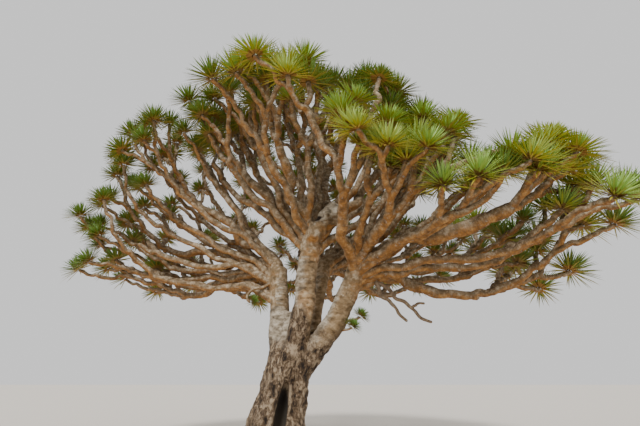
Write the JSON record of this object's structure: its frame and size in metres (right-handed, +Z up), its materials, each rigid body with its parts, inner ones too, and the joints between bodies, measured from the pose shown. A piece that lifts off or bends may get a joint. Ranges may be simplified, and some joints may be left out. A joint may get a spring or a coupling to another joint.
{
  "type": "dragon blood tree",
  "caption": "Dragon blood tree with a fluted trunk on root flares, upright stems, forking boughs and an umbrella crown of sword-leaf rosettes.",
  "frame": {"origin": "on the ground under the middle of the trunk's foot, at the mount named ground", "axes": "+Z up, +X to the right and -Y to the front as the picture's camera sees the tree"},
  "size_m": [8.5513, 6.5968, 6.1971],
  "materials": {
    "trunk_bark": "rough, fluted bark with pits",
    "stem_bark": "pale bark with ring scars",
    "bough_bark": "ringed bark, orange underneath",
    "dead_bark": "dull, bare, weathered",
    "foliage": "leathery green leaves"
  },
  "bodies": {
    "root": {"trunk": "trunk_bark", "stem_left": "stem_bark", "stem_middle": "stem_bark", "stem_back": "stem_bark", "stem_right": "stem_bark", "bough_low_left": "bough_bark", "bough_low_back_left": "bough_bark", "bough_far_left": "bough_bark", "bough_high_left": "bough_bark", "bough_high_back_left": "bough_bark", "bough_top_left": "bough_bark", "bough_top_front": "bough_bark", "bough_top_back": "bough_bark", "bough_top_right": "bough_bark", "bough_near_front": "bough_bark", "bough_low_back": "bough_bark", "bough_high_back": "bough_bark", "bough_low_back_right": "bough_bark", "bough_high_back_right": "bough_bark", "bough_low_right": "bough_bark", "bough_far_right": "bough_bark", "bough_upper_right": "bough_bark", "bough_near_right": "bough_bark", "bare_twigs": "dead_bark", "foliage_low_left_a": "foliage", "foliage_low_left_b": "foliage", "foliage_low_back_left_a": "foliage", "foliage_low_back_left_b": "foliage", "foliage_far_left_a": "foliage", "foliage_far_left_b": "foliage", "foliage_high_left_a": "foliage", "foliage_high_left_b": "foliage", "foliage_high_back_left_a": "foliage", "foliage_high_back_left_b": "foliage", "foliage_top_left_a": "foliage", "foliage_top_left_b": "foliage", "foliage_top_front_a": "foliage", "foliage_top_front_b": "foliage", "foliage_top_back_a": "foliage", "foliage_top_back_b": "foliage", "foliage_top_right_a": "foliage", "foliage_top_right_b": "foliage", "foliage_near_front_a": "foliage", "foliage_near_front_b": "foliage", "foliage_low_back_a": "foliage", "foliage_low_back_b": "foliage", "foliage_high_back_a": "foliage", "foliage_high_back_b": "foliage", "foliage_low_back_right_a": "foliage", "foliage_low_back_right_b": "foliage", "foliage_high_back_right_a": "foliage", "foliage_high_back_right_b": "foliage", "foliage_low_right_a": "foliage", "foliage_low_right_b": "foliage", "foliage_far_right_a": "foliage", "foliage_far_right_b": "foliage", "foliage_upper_right_a": "foliage", "foliage_upper_right_b": "foliage", "foliage_near_right_a": "foliage", "foliage_near_right_b": "foliage"}
  },
  "joints": []
}
